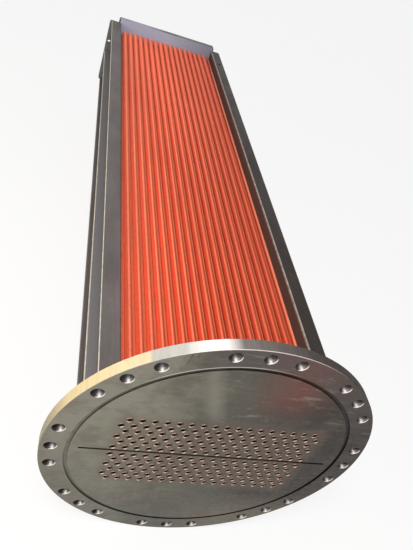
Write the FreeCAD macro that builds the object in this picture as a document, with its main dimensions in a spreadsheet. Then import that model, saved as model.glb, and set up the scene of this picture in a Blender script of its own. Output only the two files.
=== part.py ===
import FreeCAD, Part
import os
import Sketcher

# Finned tube bundle of a water-cooled air cooler. Millimetres.
# Origin: centre of the front tube sheet's outer face. +Y runs along the tubes towards the return
# header, +X to the right along a tube row, +Z up across the rows.

SIZES = [
    # Front tube sheet
    ("sheet_diameter", 850.0),
    ("sheet_thickness", 30.0),
    ("rim_chamfer", 1.2),
    ("bolt_circle_inset", 26.0),
    ("bolt_hole_diameter", 30.0),
    ("bolt_mouth_diameter", 32.6),
    ("bolt_mouth_angle", 90.0),
    ("bolt_groups", 8),
    ("bolt_step_angle", 11.25),
    ("ring_groove_inset", 59.5),
    ("ring_groove_width", 10.0),
    ("groove_depth", 4.0),
    ("pass_groove_gap", 21.0),
    ("pass_groove_width", 7.0),
    # Tubes and their fins
    ("tube_pitch", 30.0),
    ("row_pitch", 23.27),
    ("pass_gap", 32.8),
    ("rows_per_pass", 6),
    ("tubes_in_long_row", 18),
    ("tube_diameter", 16.0),
    ("tube_wall", 1.5),
    ("tube_projection", 1.5),
    ("tube_hole_clearance", 0.1),
    ("fin_diameter", 24.0),
    ("fin_end_gap", 5.0),
    # Side frame
    ("frame_length", 2535.0),
    ("web_spacing", 548.0),
    ("web_thickness", 8.0),
    ("channel_height", 357.0),
    ("channel_width", 50.6),
    ("flange_thickness", 12.0),
    ("channel_root_radius", 8.0),
    ("channel_toe_radius", 4.0),
    ("rail_width", 49.0),
    ("rail_thickness", 12.0),
    ("rail_chamfer", 1.5),
    ("flange_hole_diameter", 18.0),
    ("flange_hole_inset", 22.2),
    ("flange_hole_setback", 186.0),
    ("seal_radius", 9.0),
    ("seal_drop", 11.9),
    # Rear tube sheet
    ("rear_width", 570.0),
    ("rear_height", 404.0),
    ("rear_thickness", 30.0),
    ("rear_corner_radius", 10.0),
    ("lug_span", 669.0),
    ("lug_height", 344.0),
    ("lug_hole_diameter", 20.0),
    ("lug_hole_inset", 16.5),
    ("lug_hole_rise", 58.0),
    # Return header
    ("header_flange_margin", 6.0),
    ("header_flange_thickness", 16.0),
    ("header_wing", 29.0),
    ("header_tube_clearance", 6.0),
    ("header_depth", 120.0),
    ("header_wall", 8.0),
    ("header_corner_radius", 24.0),
    ("header_rim_radius", 10.0),
    ("gasket_thickness", 3.0),
    ("header_bolt_diameter", 12.0),
    ("header_bolt_inset", 16.0),
    ("header_bolts_across", 8),
    ("header_bolts_down", 4),
    ("header_bolt_grip", 20.0),
    ("plug_diameter", 21.0),
    ("plug_engagement", 7.0),
    ("plug_setback", 62.0),
    # Hexagon heads as shares of the screw's diameter, and the room round every screw
    ("head_radius_share", 0.92),
    ("head_height_share", 0.64),
    ("screw_hole_clearance", 0.5),
    ("thread_clearance", 0.1),
    ("thread_runout", 1.0),
    # Angle cleats and their screws
    ("cleat_leg", 34.0),
    ("cleat_thickness", 6.0),
    ("cleat_height", 46.0),
    ("cleat_rise", 100.0),
    ("cleat_hole_inset", 21.0),
    ("cleat_screw_diameter", 8.0),
    ("cleat_screw_grip", 7.0),
]

doc = FreeCAD.newDocument("finned_tube_bundle")
sheet = doc.addObject("Spreadsheet::Sheet", "Sizes")
for line, (alias, number) in enumerate(SIZES, start=1):
    sheet.set(f"A{line}", alias)
    sheet.set(f"B{line}", str(number))
    sheet.setAlias(f"B{line}", alias)
doc.recompute()

X_AXIS = FreeCAD.Vector(1, 0, 0)
Y_AXIS = FreeCAD.Vector(0, 1, 0)
Z_AXIS = FreeCAD.Vector(0, 0, 1)
SIDES = {"left": -1, "right": 1}
FRONT_PLANE = "XZ_Plane"
PLAN_PLANE = "XY_Plane"
NEAR = 0.01

nodes = []


def size(alias):
    """One driving dimension, read from the sheet."""
    return float(sheet.get(alias))


def bound(expression):
    """The expression with each alias pointing at the sheet."""
    words = expression.replace("(", "( ").replace(")", " )").split()
    names = {alias for alias, number in SIZES}
    return " ".join(f"Sizes.{word}" if word in names else word for word in words)


def value(expression):
    """What the expression comes to with the sheet's present numbers."""
    result = sheet.evalExpression(bound(expression))
    return float(getattr(result, "Value", result))


def new_body(name):
    body = doc.addObject("PartDesign::Body", name)
    body.Label = name
    return body


def new_sketch(body, name, plane):
    sketch = body.newObject("Sketcher::SketchObject", name)
    origin_plane = next(f for f in body.Origin.OriginFeatures if f.Role == plane)
    sketch.AttachmentSupport = [(origin_plane, "")]
    sketch.MapMode = "FlatFace"
    return sketch


def pin_point(sketch, geometry, point, across, up):
    """Hold one point of the sketch at two bound distances from its origin."""
    for kind, expression in (("DistanceX", across), ("DistanceY", up)):
        number = value(expression)
        index = sketch.addConstraint(Sketcher.Constraint(kind, -1, 1, geometry, point, number))
        sketch.setExpression(f"Constraints[{index}]", bound(expression))


def draw_outline(sketch, corners):
    """A closed outline of straight lines through corners given as pairs of expressions."""
    points = [FreeCAD.Vector(value(across), value(up), 0) for across, up in corners]
    first = sketch.GeometryCount
    count = len(points)
    for i in range(count):
        sketch.addGeometry(Part.LineSegment(points[i], points[(i + 1) % count]), False)
    for i in range(count):
        following = first + (i + 1) % count
        sketch.addConstraint(Sketcher.Constraint("Coincident", first + i, 2, following, 1))
        pin_point(sketch, first + i, 1, *corners[i])


def draw_rectangle(sketch, width, height):
    """A rectangle centred on the sketch's origin."""
    right, top = f"( {width} ) / 2", f"( {height} ) / 2"
    left, bottom = f"-1 * {right}", f"-1 * {top}"
    draw_outline(sketch, [(left, bottom), (right, bottom), (right, top), (left, top)])


def draw_circle(sketch, diameter, across="0", up="0"):
    centre = FreeCAD.Vector(value(across), value(up), 0)
    circle = Part.Circle(centre, FreeCAD.Vector(0, 0, 1), value(diameter) / 2)
    index = sketch.addGeometry(circle, False)
    if (across, up) == ("0", "0"):
        sketch.addConstraint(Sketcher.Constraint("Coincident", index, 3, -1, 1))
    else:
        pin_point(sketch, index, 3, across, up)
    held = sketch.addConstraint(Sketcher.Constraint("Diameter", index, value(diameter)))
    sketch.setExpression(f"Constraints[{held}]", bound(diameter))


def add_pad(body, name, sketch, length, towards_header=True):
    pad = body.newObject("PartDesign::Pad", name)
    pad.Profile = sketch
    pad.setExpression("Length", bound(length))
    pad.Reversed = towards_header
    doc.recompute()
    return pad


def add_pocket(body, name, sketch, depth=None):
    """A pocket cut from the body's front face towards the header, through all without a depth."""
    before = body.Shape.Volume
    pocket = body.newObject("PartDesign::Pocket", name)
    pocket.Profile = sketch
    if depth is None:
        pocket.Type = "ThroughAll"
    else:
        pocket.setExpression("Length", bound(depth))
    doc.recompute()
    if body.Shape.Volume >= before:
        raise ValueError(f"{name} cuts nothing")
    return pocket


def long_edges(shape, points):
    """Names of the straight edges along Y that pass through one of the points (x, z)."""
    found = []
    for number, edge in enumerate(shape.Edges, start=1):
        if not isinstance(edge.Curve, Part.Line) or edge.BoundBox.YLength < NEAR:
            continue
        middle = edge.CenterOfMass
        if any(abs(middle.x - x) < NEAR and abs(middle.z - z) < NEAR for x, z in points):
            found.append(f"Edge{number}")
    return found


def corners_of(width, height):
    """The four corners (x, z) of a rectangle centred on the frame's axis."""
    half_width, half_height = value(width) / 2, value(height) / 2
    return [(x, z) for x in (-half_width, half_width) for z in (-half_height, half_height)]


def round_edges(body, name, edges, radius):
    base = body.Tip
    fillet = body.newObject("PartDesign::Fillet", name)
    fillet.Base = (base, edges)
    fillet.setExpression("Radius", bound(radius))
    doc.recompute()


def bevel_edges(body, name, edges, width):
    base = body.Tip
    chamfer = body.newObject("PartDesign::Chamfer", name)
    chamfer.Base = (base, edges)
    chamfer.setExpression("Size", bound(width))
    doc.recompute()


def place_along(item, expression):
    item.setExpression("Placement.Base.y", bound(expression))


def cut_away(name, blank, drills):
    """A node made of a blank with a set of drilled holes."""
    cut = doc.addObject("Part::Cut", name)
    cut.Label = name
    cut.Base = blank
    cut.Tool = drills
    nodes.append(cut)
    return cut


def set_of(name, shapes):
    """Like solids held together as one object."""
    group = doc.addObject("Part::Feature", name)
    group.Label = name
    group.Shape = Part.Compound(shapes)
    return group


def drill(diameter, length, start, direction):
    return Part.makeCylinder(diameter / 2, length, start, direction)


# Layout of the tubes: rows counted from the top, long and short rows in turn, mirrored about the
# gap between the two passes.


def row_heights():
    per_pass = int(size("rows_per_pass"))
    upper = [size("pass_gap") / 2 + size("row_pitch") * i for i in reversed(range(per_pass))]
    return upper + [-height for height in reversed(upper)]


def tubes_in_row(index):
    per_pass = int(size("rows_per_pass"))
    from_gap = per_pass - 1 - index if index < per_pass else index - per_pass
    return int(size("tubes_in_long_row")) - from_gap % 2


def tube_places():
    """For each row, the places of its tube axes across the sheet."""
    rows = []
    for index, height in enumerate(row_heights()):
        count = tubes_in_row(index)
        first = -size("tube_pitch") * (count - 1) / 2
        rows.append([(first + size("tube_pitch") * i, height) for i in range(count)])
    return rows


BOLT_RADIUS = "( sheet_diameter / 2 - bolt_circle_inset )"
RING_GROOVE_OUTSIDE = "( sheet_diameter - 2 * ring_groove_inset )"
RING_GROOVE_INSIDE = f"( {RING_GROOVE_OUTSIDE} - 2 * ring_groove_width )"
PASS_GROOVE_LENGTH = f"( {RING_GROOVE_INSIDE} - 2 * pass_groove_gap )"
REAR_FACE = "( sheet_thickness + frame_length )"
HEADER_FACE = f"( {REAR_FACE} + rear_thickness + gasket_thickness )"
TUBE_HOLE = "( tube_diameter + 2 * tube_hole_clearance )"
WEB_OUTSIDE = "( web_spacing / 2 + web_thickness )"
FLANGE_EDGE = "( web_spacing / 2 + channel_width )"
TUBES_WIDTH = "( ( tubes_in_long_row - 1 ) * tube_pitch + tube_diameter )"
TUBES_HEIGHT = "( pass_gap + 2 * ( rows_per_pass - 1 ) * row_pitch + tube_diameter )"
HOLLOW_WIDTH = f"( {TUBES_WIDTH} + 2 * header_tube_clearance )"
HOLLOW_HEIGHT = f"( {TUBES_HEIGHT} + 2 * header_tube_clearance )"
BOX_WIDTH = f"( {HOLLOW_WIDTH} + 2 * header_wall )"
BOX_HEIGHT = f"( {HOLLOW_HEIGHT} + 2 * header_wall )"
FLANGE_WIDTH = "( rear_width - 2 * header_flange_margin )"
FLANGE_HEIGHT = "( rear_height - 2 * header_flange_margin )"
WINGS_WIDTH = f"( {BOX_WIDTH} + 2 * header_wing )"
WINGS_HEIGHT = "( lug_height - 2 * header_flange_margin )"
TAPPED_CLEAT = "( cleat_screw_diameter + 2 * thread_clearance )"
TAPPED_HEADER = "( header_bolt_diameter + 2 * thread_clearance )"


def tube_drills(start, depth):
    """One drill for each tube, through a sheet that starts at the given place along the tubes."""
    diameter = value(TUBE_HOLE)
    return [
        drill(diameter, depth, FreeCAD.Vector(across, start, height), Y_AXIS)
        for row in tube_places()
        for across, height in row
    ]


# Front tube sheet


def make_tube_sheet():
    body = new_body("tube_sheet_blank")
    disc = new_sketch(body, "sheet_disc", FRONT_PLANE)
    draw_circle(disc, "sheet_diameter")
    add_pad(body, "sheet_pad", disc, "sheet_thickness")
    rims = [
        f"Edge{number}"
        for number, edge in enumerate(body.Shape.Edges, start=1)
        if isinstance(edge.Curve, Part.Circle)
    ]
    bevel_edges(body, "sheet_rim", rims, "rim_chamfer")

    ring = new_sketch(body, "ring_groove_sketch", FRONT_PLANE)
    draw_circle(ring, RING_GROOVE_INSIDE)
    draw_circle(ring, RING_GROOVE_OUTSIDE)
    add_pocket(body, "ring_groove", ring, "groove_depth")

    strip = new_sketch(body, "pass_groove_sketch", FRONT_PLANE)
    draw_rectangle(strip, PASS_GROOVE_LENGTH, "pass_groove_width")
    add_pocket(body, "pass_groove", strip, "groove_depth")

    holes = new_sketch(body, "bolt_hole_sketch", FRONT_PLANE)
    for turn in ("-1", "0", "1"):
        angle = f"{turn} * bolt_step_angle"
        across, up = f"{BOLT_RADIUS} * cos( {angle} )", f"{BOLT_RADIUS} * sin( {angle} )"
        draw_circle(holes, "bolt_hole_diameter", across, up)
    doc.recompute()
    before = body.Shape.Volume
    hole = body.newObject("PartDesign::Hole", "bolt_hole")
    hole.Profile = holes
    hole.DepthType = "ThroughAll"
    hole.HoleCutType = "Countersink"
    hole.setExpression("Diameter", bound("bolt_hole_diameter"))
    hole.HoleCutCustomValues = True
    hole.setExpression("HoleCutDiameter", bound("bolt_mouth_diameter"))
    hole.HoleCutCountersinkAngle = size("bolt_mouth_angle")
    doc.recompute()
    if body.Shape.Volume >= before:
        raise ValueError("the bolt holes cut nothing")
    pattern = body.newObject("PartDesign::PolarPattern", "bolt_hole_groups")
    pattern.Originals = [hole]
    pattern.Axis = (holes, ["N_Axis"])
    pattern.Angle = 360.0
    pattern.setExpression("Occurrences", bound("bolt_groups"))
    body.Tip = pattern
    doc.recompute()
    drills = tube_drills(0.0, size("sheet_thickness"))
    drills += sheet_screw_drills(size("sheet_thickness"), 1)
    cut_away("tube_sheet", body, set_of("tube_sheet_drills", drills))


# Rear tube sheet: a plate with a lug at each side, tube holes, lug holes and blind tapped holes for
# the return header's bolts


def evenly(half_span, count):
    """Evenly spaced places from one end of a span to the other."""
    return [half_span * (2 * i / (count - 1) - 1) for i in range(count)]


def header_bolt_places():
    """The header's bolts: a row along the top and the bottom of its flange and down each wing."""
    inset = size("header_bolt_inset")
    top = value(FLANGE_HEIGHT) / 2 - inset
    wing = value(WINGS_WIDTH) / 2 - inset
    across = evenly(value(FLANGE_WIDTH) / 2 - inset, int(size("header_bolts_across")))
    down = evenly(value(WINGS_HEIGHT) / 2 - inset, int(size("header_bolts_down")))
    return [(x, z) for x in across for z in (-top, top)] + [
        (x, z) for x in (-wing, wing) for z in down
    ]


def draw_winged_plate(body, name, wide, tall, thickness):
    """A plate with a wing at each side: two rectangles (width, height) joined, corners rounded."""
    for part_name, outline in ((f"{name}_wings", wide), (f"{name}_plate", tall)):
        sketch = new_sketch(body, part_name, FRONT_PLANE)
        draw_rectangle(sketch, *outline)
        add_pad(body, f"{part_name}_pad", sketch, thickness)
    outer = long_edges(body.Shape, corners_of(*wide) + corners_of(*tall))
    round_edges(body, f"{name}_corners", outer, "rear_corner_radius")


def make_rear_tube_sheet():
    body = new_body("rear_sheet_blank")
    place_along(body, REAR_FACE)
    wide, tall = ("lug_span", "lug_height"), ("rear_width", "rear_height")
    draw_winged_plate(body, "rear_sheet", wide, tall, "rear_thickness")

    start = value(REAR_FACE)
    thickness = size("rear_thickness")
    drills = tube_drills(start, thickness) + sheet_screw_drills(start, -1)
    lug_x = size("lug_span") / 2 - size("lug_hole_inset")
    for side in SIDES.values():
        place = FreeCAD.Vector(side * lug_x, start, size("lug_hole_rise"))
        drills.append(drill(size("lug_hole_diameter"), thickness, place, Y_AXIS))
    depth = value("header_bolt_grip + thread_runout")
    for x, z in header_bolt_places():
        place = FreeCAD.Vector(x, start + thickness, z)
        drills.append(drill(value(TAPPED_HEADER), depth, place, -Y_AXIS))
    cut_away("rear_tube_sheet", body, set_of("rear_drills", drills))


# Tube rows: each tube has a bore, bare ends that stand in the two sheets, and its fins' outline


def make_tube_rows():
    body = new_body("finned_tube")
    profile = new_sketch(body, "tube_profile", PLAN_PLANE)
    bore = "( tube_diameter / 2 - tube_wall )"
    outside = "( tube_diameter / 2 )"
    fins = "( fin_diameter / 2 )"
    front, back = "( -1 * tube_projection )", f"( {REAR_FACE} + rear_thickness )"
    fins_start, fins_end = "( sheet_thickness + fin_end_gap )", f"( {REAR_FACE} - fin_end_gap )"
    draw_outline(
        profile,
        [
            (bore, front),
            (outside, front),
            (outside, fins_start),
            (fins, fins_start),
            (fins, fins_end),
            (outside, fins_end),
            (outside, back),
            (bore, back),
        ],
    )
    turned = body.newObject("PartDesign::Revolution", "tube_turned")
    turned.Profile = profile
    turned.ReferenceAxis = (profile, ["V_Axis"])
    turned.Angle = 360.0
    doc.recompute()
    for number, row in enumerate(tube_places(), start=1):
        tubes = [body.Shape.translated(FreeCAD.Vector(x, 0, z)) for x, z in row]
        nodes.append(set_of(f"tube_row_{number:02d}", tubes))


# Side channels, open outwards, and the flat rail along the outside of each


def make_side_channel(name, side):
    body = new_body(f"{name}_blank")
    place_along(body, "sheet_thickness")
    profile = new_sketch(body, f"{name}_profile", FRONT_PLANE)
    inner, outer = f"{side} * web_spacing / 2", f"{side} * {WEB_OUTSIDE}"
    edge = f"{side} * {FLANGE_EDGE}"
    top, under = "channel_height / 2", "( channel_height / 2 - flange_thickness )"
    draw_outline(
        profile,
        [
            (inner, f"-1 * {top}"),
            (edge, f"-1 * {top}"),
            (edge, f"-1 * {under}"),
            (outer, f"-1 * {under}"),
            (outer, under),
            (edge, under),
            (edge, top),
            (inner, top),
        ],
    )
    add_pad(body, f"{name}_pad", profile, "frame_length")
    inside = value(under)
    roots = [(side * value(WEB_OUTSIDE), z) for z in (-inside, inside)]
    toes = [(side * value(FLANGE_EDGE), z) for z in (-inside, inside)]
    round_edges(body, f"{name}_roots", long_edges(body.Shape, roots), "channel_root_radius")
    round_edges(body, f"{name}_toes", long_edges(body.Shape, toes), "channel_toe_radius")

    drills = []
    for across, along, up, target in cleat_screw_places():
        if target == "web" and across * side > 0:
            start = FreeCAD.Vector(side * size("web_spacing") / 2, along, up)
            drills.append(drill(value(TAPPED_CLEAT), size("web_thickness"), start, X_AXIS * side))
    if side > 0:
        x = value(FLANGE_EDGE) - size("flange_hole_inset")
        along = value(REAR_FACE) - size("flange_hole_setback")
        start = FreeCAD.Vector(x, along, inside)
        drills.append(drill(size("flange_hole_diameter"), size("flange_thickness"), start, Z_AXIS))
    cut_away(name, body, set_of(f"{name}_drills", drills))


def make_middle_rail(name, side):
    body = new_body(name)
    place_along(body, "sheet_thickness")
    profile = new_sketch(body, f"{name}_profile", FRONT_PLANE)
    near, far = f"{side} * {WEB_OUTSIDE}", f"{side} * ( {WEB_OUTSIDE} + rail_width )"
    low, high = "-1 * rail_thickness / 2", "rail_thickness / 2"
    draw_outline(profile, [(near, low), (far, low), (far, high), (near, high)])
    add_pad(body, f"{name}_pad", profile, "frame_length")
    corners = [(value(far), value(low)), (value(far), value(high))]
    bevel_edges(body, f"{name}_edge", long_edges(body.Shape, corners), "rail_chamfer")
    nodes.append(body)


# Half-round strips on the webs that close the gap beside the outer rows


def make_seal_strips():
    radius = size("seal_radius")
    length = value("frame_length - 2 * fin_end_gap")
    start = value("sheet_thickness + fin_end_gap")
    height = row_heights()[0] - size("seal_drop")
    strips = []
    for side in SIDES.values():
        web = side * size("web_spacing") / 2
        for up in (-height, height):
            rod = drill(2 * radius, length, FreeCAD.Vector(web, start, up), Y_AXIS)
            corner = FreeCAD.Vector(min(web, web + side * radius), start, up - radius)
            strips.append(rod.cut(Part.makeBox(radius, length, 2 * radius, corner)))
    nodes.append(set_of("seal_strips", strips))


# Angle cleats that join the channels to the two sheets


def cleat_heights():
    return (-size("cleat_rise"), size("cleat_rise"))


def cleat_screw_places():
    """Across, along and up of each screw's seat, and the piece that it is screwed into."""
    web = value(WEB_OUTSIDE)
    thickness, inset = size("cleat_thickness"), size("cleat_hole_inset")
    places = []
    for side in SIDES.values():
        for end, inwards in ((size("sheet_thickness"), 1), (value(REAR_FACE), -1)):
            for up in cleat_heights():
                places.append((side * (web + thickness), end + inwards * inset, up, "web"))
                places.append((side * (web + inset), end + inwards * thickness, up, "sheet"))
    return places


def sheet_screw_drills(end, inwards):
    """Blind holes for the cleat screws in the sheet whose face lies at this end."""
    depth = value("cleat_screw_grip + thread_runout")
    seat = end + inwards * size("cleat_thickness")
    return [
        drill(value(TAPPED_CLEAT), depth, FreeCAD.Vector(across, end, up), Y_AXIS * -inwards)
        for across, along, up, target in cleat_screw_places()
        if target == "sheet" and abs(along - seat) < NEAR
    ]


def make_cleats(name, end, inwards):
    """Four angles at one end: one leg on the web, the other on the sheet."""
    leg, thickness, inset = size("cleat_leg"), size("cleat_thickness"), size("cleat_hole_inset")
    hole = value("cleat_screw_diameter + 2 * screw_hole_clearance")
    web = value(WEB_OUTSIDE)
    cleats = []
    for side in SIDES.values():
        for up in cleat_heights():
            low = up - size("cleat_height") / 2
            corners = [(0, 0), (leg, 0), (leg, thickness), (thickness, thickness)]
            corners += [(thickness, leg), (0, leg)]
            points = [FreeCAD.Vector(side * (web + x), end + inwards * y, low) for x, y in corners]
            wire = Part.makePolygon(points + points[:1])
            angle = Part.Face(wire).extrude(Z_AXIS * size("cleat_height"))
            web_leg = FreeCAD.Vector(side * web, end + inwards * inset, up)
            sheet_leg = FreeCAD.Vector(side * (web + inset), end, up)
            angle = angle.cut(drill(hole, thickness, web_leg, X_AXIS * side))
            angle = angle.cut(drill(hole, thickness, sheet_leg, Y_AXIS * inwards))
            cleats.append(angle)
    nodes.append(set_of(name, cleats))


def screw_master(name, diameter, grip):
    """A hexagon-head screw with its seat at the origin and its shank along -Z."""
    head = doc.addObject("Part::Prism", f"{name}_head")
    head.Polygon = 6
    head.setExpression("Circumradius", bound(f"{diameter} * head_radius_share"))
    head.setExpression("Height", bound(f"{diameter} * head_height_share"))
    shank = doc.addObject("Part::Cylinder", f"{name}_shank")
    shank.setExpression("Radius", bound(f"{diameter} / 2"))
    shank.setExpression("Height", bound(grip))
    shank.setExpression("Placement.Base.z", bound(f"-1 * ( {grip} )"))
    screw = doc.addObject("Part::MultiFuse", name)
    screw.Shapes = [head, shank]
    doc.recompute()
    return screw.Shape


def pointed(shape, outwards, seat):
    """A copy of the screw with its head pointing outwards and its seat at the place."""
    copy = shape.copy()
    copy.Placement = FreeCAD.Placement(seat, FreeCAD.Rotation(Z_AXIS, outwards))
    return copy


def make_cleat_screws():
    screw = screw_master("cleat_screw", "cleat_screw_diameter", "cleat_thickness + cleat_screw_grip")
    screws = []
    middle = value(REAR_FACE) / 2
    for across, along, up, target in cleat_screw_places():
        if target == "web":
            outwards = X_AXIS * (1 if across > 0 else -1)
        else:
            outwards = Y_AXIS * (1 if along < middle else -1)
        screws.append(pointed(screw, outwards, FreeCAD.Vector(across, along, up)))
    nodes.append(set_of("cleat_screws", screws))


# Return header, its gasket, bolts and plugs


def flange_drills(start, length):
    diameter = value("header_bolt_diameter + 2 * screw_hole_clearance")
    return [
        drill(diameter, length, FreeCAD.Vector(x, start, z), Y_AXIS)
        for x, z in header_bolt_places()
    ]


def make_gasket():
    body = new_body("gasket_blank")
    place_along(body, f"{REAR_FACE} + rear_thickness")
    wide, tall = (WINGS_WIDTH, WINGS_HEIGHT), (FLANGE_WIDTH, FLANGE_HEIGHT)
    draw_winged_plate(body, "gasket", wide, tall, "gasket_thickness")
    window = new_sketch(body, "gasket_window", FRONT_PLANE)
    draw_rectangle(window, HOLLOW_WIDTH, HOLLOW_HEIGHT)
    add_pocket(body, "gasket_window_pocket", window)
    start = value(f"{REAR_FACE} + rear_thickness")
    drills = set_of("gasket_drills", flange_drills(start, size("gasket_thickness")))
    cut_away("header_gasket", body, drills)


def make_return_header():
    body = new_body("header_blank")
    place_along(body, HEADER_FACE)
    wide, tall = (WINGS_WIDTH, WINGS_HEIGHT), (FLANGE_WIDTH, FLANGE_HEIGHT)
    draw_winged_plate(body, "header_flange", wide, tall, "header_flange_thickness")
    box = new_sketch(body, "header_box", FRONT_PLANE)
    draw_rectangle(box, BOX_WIDTH, BOX_HEIGHT)
    add_pad(body, "header_box_pad", box, "header_depth")
    upright = long_edges(body.Shape, corners_of(BOX_WIDTH, BOX_HEIGHT))
    round_edges(body, "header_corners", upright, "header_corner_radius")
    back = value(f"{HEADER_FACE} + header_depth")
    rim = [
        f"Edge{number}"
        for number, edge in enumerate(body.Shape.Edges, start=1)
        if edge.BoundBox.YMin > back - NEAR
    ]
    round_edges(body, "header_back_rim", rim, "header_rim_radius")

    hollow = new_sketch(body, "header_hollow", FRONT_PLANE)
    draw_rectangle(hollow, HOLLOW_WIDTH, HOLLOW_HEIGHT)
    add_pocket(body, "header_hollow_pocket", hollow, "header_depth - header_wall")
    inside = long_edges(body.Shape, corners_of(HOLLOW_WIDTH, HOLLOW_HEIGHT))
    round_edges(body, "header_hollow_corners", inside, "header_corner_radius - header_wall")

    drills = flange_drills(value(HEADER_FACE), size("header_flange_thickness"))
    plug_hole = value("plug_diameter + 2 * thread_clearance")
    for up in (-1, 1):
        drills.append(drill(plug_hole, size("header_wall"), plug_seat(up), Z_AXIS * -up))
    cut_away("return_header", body, set_of("header_drills", drills))


def plug_seat(up):
    """Where a plug's head sits, on the top or the bottom wall of the header's box."""
    along = value(f"{HEADER_FACE} + plug_setback")
    return FreeCAD.Vector(0, along, up * value(BOX_HEIGHT) / 2)


def make_header_bolts():
    grip = "header_flange_thickness + gasket_thickness + header_bolt_grip"
    bolt = screw_master("header_bolt", "header_bolt_diameter", grip)
    seat = value(f"{HEADER_FACE} + header_flange_thickness")
    bolts = [pointed(bolt, Y_AXIS, FreeCAD.Vector(x, seat, z)) for x, z in header_bolt_places()]
    nodes.append(set_of("header_bolts", bolts))


def make_plugs():
    plug = screw_master("pipe_plug", "plug_diameter", "plug_engagement")
    nodes.append(set_of("vent_plug", [pointed(plug, Z_AXIS, plug_seat(1))]))
    nodes.append(set_of("drain_plug", [pointed(plug, -Z_AXIS, plug_seat(-1))]))


make_tube_sheet()
make_tube_rows()
for side_name, side in SIDES.items():
    make_side_channel(f"side_channel_{side_name}", side)
    make_middle_rail(f"middle_rail_{side_name}", side)
make_seal_strips()
make_cleats("front_cleats", size("sheet_thickness"), 1)
make_cleats("rear_cleats", value(REAR_FACE), -1)
make_cleat_screws()
make_rear_tube_sheet()
make_gasket()
make_return_header()
make_header_bolts()
make_plugs()
doc.recompute()

for item in doc.Objects:
    if "Invalid" in item.State or "Error" in item.State:
        raise ValueError(f"{item.Label} did not recompute")
for node in nodes:
    if node.Shape.isNull() or not node.Shape.isValid():
        raise ValueError(f"{node.Label} has no valid shape")

os.makedirs("parts", exist_ok=True)
for node in nodes:
    node.Shape.exportStep(f"parts/{node.Label}.step")
    print(node.Label, len(node.Shape.Solids), round(node.Shape.Volume / 1000.0, 1), "cm3")
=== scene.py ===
import math

import bpy
import numpy as np
from mathutils import Matrix, Vector


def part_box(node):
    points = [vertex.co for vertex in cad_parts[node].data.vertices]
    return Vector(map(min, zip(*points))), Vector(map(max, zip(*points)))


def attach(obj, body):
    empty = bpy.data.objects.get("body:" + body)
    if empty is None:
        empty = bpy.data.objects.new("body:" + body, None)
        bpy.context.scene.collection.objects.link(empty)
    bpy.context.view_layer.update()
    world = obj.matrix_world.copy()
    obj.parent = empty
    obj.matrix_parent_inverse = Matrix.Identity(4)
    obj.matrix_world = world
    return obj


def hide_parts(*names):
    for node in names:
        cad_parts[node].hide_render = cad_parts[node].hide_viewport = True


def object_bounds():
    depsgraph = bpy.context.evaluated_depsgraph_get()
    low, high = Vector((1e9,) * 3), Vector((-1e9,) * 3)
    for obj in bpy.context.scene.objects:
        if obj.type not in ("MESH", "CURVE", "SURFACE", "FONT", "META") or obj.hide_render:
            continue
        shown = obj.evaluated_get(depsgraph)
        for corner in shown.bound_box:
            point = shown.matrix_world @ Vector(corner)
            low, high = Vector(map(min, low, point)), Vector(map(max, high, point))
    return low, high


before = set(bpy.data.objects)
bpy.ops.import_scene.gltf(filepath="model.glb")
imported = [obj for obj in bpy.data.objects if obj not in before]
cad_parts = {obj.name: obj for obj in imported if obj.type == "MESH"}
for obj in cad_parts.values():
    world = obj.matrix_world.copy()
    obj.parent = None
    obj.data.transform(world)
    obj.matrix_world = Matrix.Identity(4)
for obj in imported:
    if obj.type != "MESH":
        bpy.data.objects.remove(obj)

bl_info = {
    "name": "Finned tube bundle",
    "version": (1, 0, 0),
    "blender": (4, 5, 0),
    "location": "3D View > Sidebar > Tube bundle",
    "description": "Fins, tube ends and metal finishes for a water-cooled air cooler's tube bundle",
    "category": "Object",
}

# Metres, in the frame of the solids: +Y runs along the tubes, away from the front tube sheet.
MILLIMETRE = 0.001
BODY = "root"
CAD_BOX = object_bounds()
SHEET_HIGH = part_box("tube_sheet")[1]
REAR_LOW, REAR_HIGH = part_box("rear_tube_sheet")
CHANNEL_LOW, CHANNEL_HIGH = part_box("side_channel_right")
RAIL_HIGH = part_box("middle_rail_right")[1]
INNER_ROWS = [f"tube_row_{number:02d}" for number in range(2, 12)]
RAILS = ["middle_rail_left", "middle_rail_right"]

# The round sheet: its back face, its rim, and the outer edge of its ring groove.
SHEET_BACK = SHEET_HIGH.y
SHEET_RADIUS = SHEET_HIGH.x
GROOVE_EDGE = SHEET_RADIUS - 59.5 * MILLIMETRE
# The right channel: the web's face towards the tubes, and the top of the upper flange.
WEB_FACE = CHANNEL_LOW.x
FLANGE_TOP = CHANNEL_HIGH.z


def row_height(node):
    """How high a row of tubes stands over the bundle's axis."""
    low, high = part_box(node)
    return (low.z + high.z) / 2


# The rows of a pass stand at one distance from each other. Row 6 is the upper pass's lowest.
TUBE_PITCH = 30.0 * MILLIMETRE
ROW_PITCH = row_height("tube_row_01") - row_height("tube_row_02")
FIRST_ROW = row_height("tube_row_06")


def colour(red, green, blue):
    """A colour picked as it looks, 0 to 255, as the linear numbers that shaders take."""
    linear = []
    for part in (red, green, blue):
        share = part / 255.0
        linear.append(share / 12.92 if share <= 0.04045 else ((share + 0.055) / 1.055) ** 2.4)
    return (*linear, 1.0)


def shade(base, factor):
    """The same colour, lighter or darker."""
    return (*(min(1.0, part * factor) for part in base[:3]), 1.0)


def colour_property(name, description, default):
    return bpy.props.FloatVectorProperty(
        name=name, description=description, default=default, size=4, min=0.0, max=1.0, subtype="COLOR"
    )


def length_property(name, description, default):
    return bpy.props.FloatProperty(
        name=name, description=description, default=default, min=0.0, unit="LENGTH", subtype="DISTANCE"
    )


def light_property(name, description, default, unit="NONE"):
    return bpy.props.FloatProperty(name=name, description=description, default=default, min=0.0, unit=unit)


# Sizes and colours that a user would change


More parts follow.
